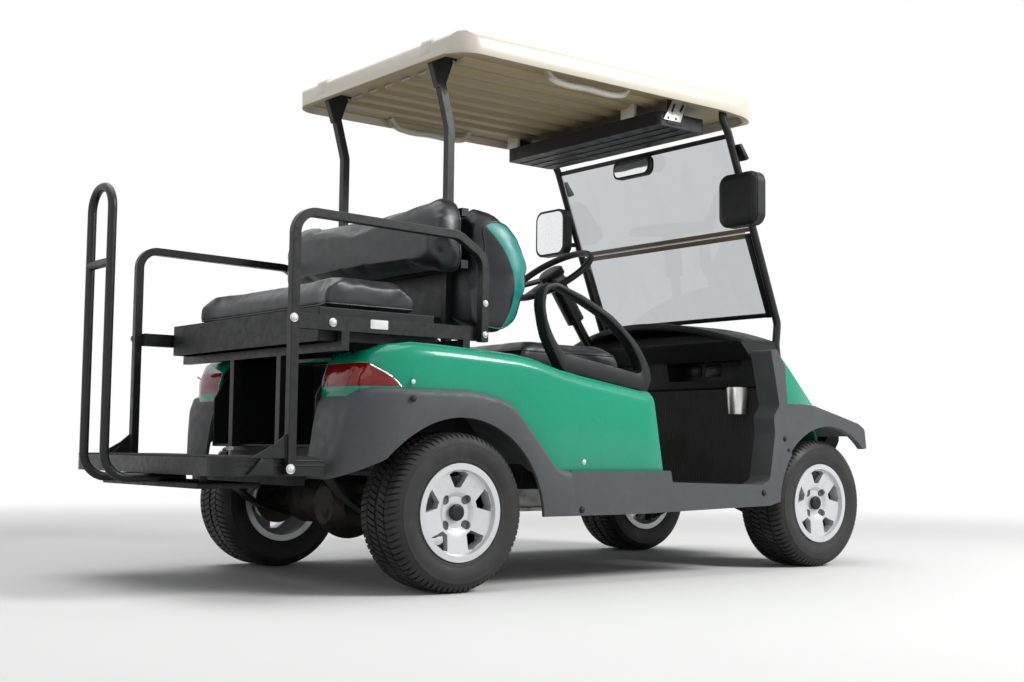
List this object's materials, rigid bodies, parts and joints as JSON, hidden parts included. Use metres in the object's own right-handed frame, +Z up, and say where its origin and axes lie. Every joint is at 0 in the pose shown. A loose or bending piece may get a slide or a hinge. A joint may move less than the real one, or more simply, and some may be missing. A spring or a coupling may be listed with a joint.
{
  "type": "golf cart",
  "caption": "Golf cart with a roof, a folding windscreen, a front bench and a rear-facing bench that flips over into a load deck.",
  "frame": {"origin": "on the ground under the middle of the cart's box", "axes": "+X forward, +Y to the cart's left, +Z up"},
  "size_m": [2.851, 1.239, 1.7383],
  "materials": {
    "green_paint": "glossy metallic emerald paint on moulded plastic",
    "grey_moulding": "finely textured dark grey moulding",
    "black_moulding": "satin black moulding",
    "roof_plastic": "cream white roof moulding",
    "black_steel": "satin black powder coat",
    "frame_alloy": "dull mill finish",
    "axle_iron": "black painted castings and tubes",
    "seat_vinyl": "black seat vinyl",
    "tyre_rubber": "road tyre",
    "wheel_alloy": "silver cast wheel",
    "tinted_glass": "tinted acrylic",
    "mirror_glass": "mirror in a black housing",
    "red_lens": "red lamp lens",
    "clear_lens": "clear lamp lens",
    "floor_rubber": "ribbed floor mat",
    "battery_case": "battery cases"
  },
  "bodies": {
    "chassis": {"frame": "frame_alloy", "floor_pan": "floor_rubber", "sills": "grey_moulding", "rear_flares": "grey_moulding", "rear_body": "green_paint", "tail_lamps": "red_lens", "seat_box": "black_moulding", "battery_pack": "battery_case", "bag_well": "black_moulding", "rear_bumper": "black_steel", "front_cowl": "green_paint", "head_lamps": "clear_lens", "front_fenders": "grey_moulding", "front_bumper": "grey_moulding", "dash": "black_moulding", "steering_column": "black_steel", "pedals": "black_steel", "rear_axle": "axle_iron", "rear_suspension": "axle_iron", "front_suspension": "axle_iron", "steering_rack": "axle_iron", "front_seat_back": "seat_vinyl", "hip_restraints": "black_moulding", "rear_seat_frame": "black_steel", "arm_rails": "black_steel", "foot_platform": "black_steel", "grab_bar": "black_steel", "rear_seat_back": "seat_vinyl", "roof": "roof_plastic", "rear_struts": "black_steel", "front_struts": "black_steel", "windscreen": "tinted_glass", "overhead_tray": "black_moulding", "cabin_mirror": "mirror_glass", "side_mirrors": "mirror_glass"},
    "steering_wheel": {"steering_wheel": "black_moulding"},
    "seat_lid": {"front_seat_cushion": "seat_vinyl"},
    "flip_seat": {"rear_seat_pan": "black_moulding", "rear_seat_cushion": "seat_vinyl"},
    "knuckle_left": {"knuckle_left": "axle_iron"},
    "knuckle_right": {"knuckle_right": "axle_iron"},
    "wheel_rear_left": {"tyre_rear_left": "tyre_rubber", "rim_rear_left": "wheel_alloy"},
    "wheel_rear_right": {"tyre_rear_right": "tyre_rubber", "rim_rear_right": "wheel_alloy"},
    "wheel_front_left": {"tyre_front_left": "tyre_rubber", "rim_front_left": "wheel_alloy"},
    "wheel_front_right": {"tyre_front_right": "tyre_rubber", "rim_front_right": "wheel_alloy"}
  },
  "joints": [
    {"name": "rear_left_spin", "type": "hinge", "parent": "chassis", "child": "wheel_rear_left", "pos_m": [-0.5695, 0.517, 0.2295], "axis": [0, 1, 0], "continuous": true},
    {"name": "rear_right_spin", "type": "hinge", "parent": "chassis", "child": "wheel_rear_right", "pos_m": [-0.5695, -0.517, 0.2295], "axis": [0, 1, 0], "continuous": true},
    {"name": "left_steer", "type": "hinge", "parent": "chassis", "child": "knuckle_left", "pos_m": [1.0945, 0.344, 0.2295], "axis": [0, 0, 1], "range_deg": [-30, 30]},
    {"name": "front_left_spin", "type": "hinge", "parent": "knuckle_left", "child": "wheel_front_left", "pos_m": [1.0945, 0.454, 0.2295], "axis": [0, 1, 0], "continuous": true},
    {"name": "right_steer", "type": "hinge", "parent": "chassis", "child": "knuckle_right", "pos_m": [1.0945, -0.344, 0.2295], "axis": [0, 0, 1], "range_deg": [-30, 30]},
    {"name": "front_right_spin", "type": "hinge", "parent": "knuckle_right", "child": "wheel_front_right", "pos_m": [1.0945, -0.454, 0.2295], "axis": [0, 1, 0], "continuous": true},
    {"name": "steering_turn", "type": "hinge", "parent": "chassis", "child": "steering_wheel", "pos_m": [0.4975, 0.27, 1.085], "axis": [-0.5878, 0, 0.809], "range_deg": [-270, 270]},
    {"name": "seat_lid_lift", "type": "hinge", "parent": "chassis", "child": "seat_lid", "pos_m": [-0.2315, 0, 0.7], "axis": [0, -1, 0], "range_deg": [0, 55]},
    {"name": "flip_seat_turn", "type": "hinge", "parent": "chassis", "child": "flip_seat", "pos_m": [-0.9445, 0, 0.757], "axis": [0, -1, 0], "range_deg": [0, 180]}
  ],
  "couplings": [
    {"joint": "right_steer", "follows": "left_steer", "ratio": 1},
    {"joint": "steering_turn", "follows": "left_steer", "ratio": 9}
  ]
}
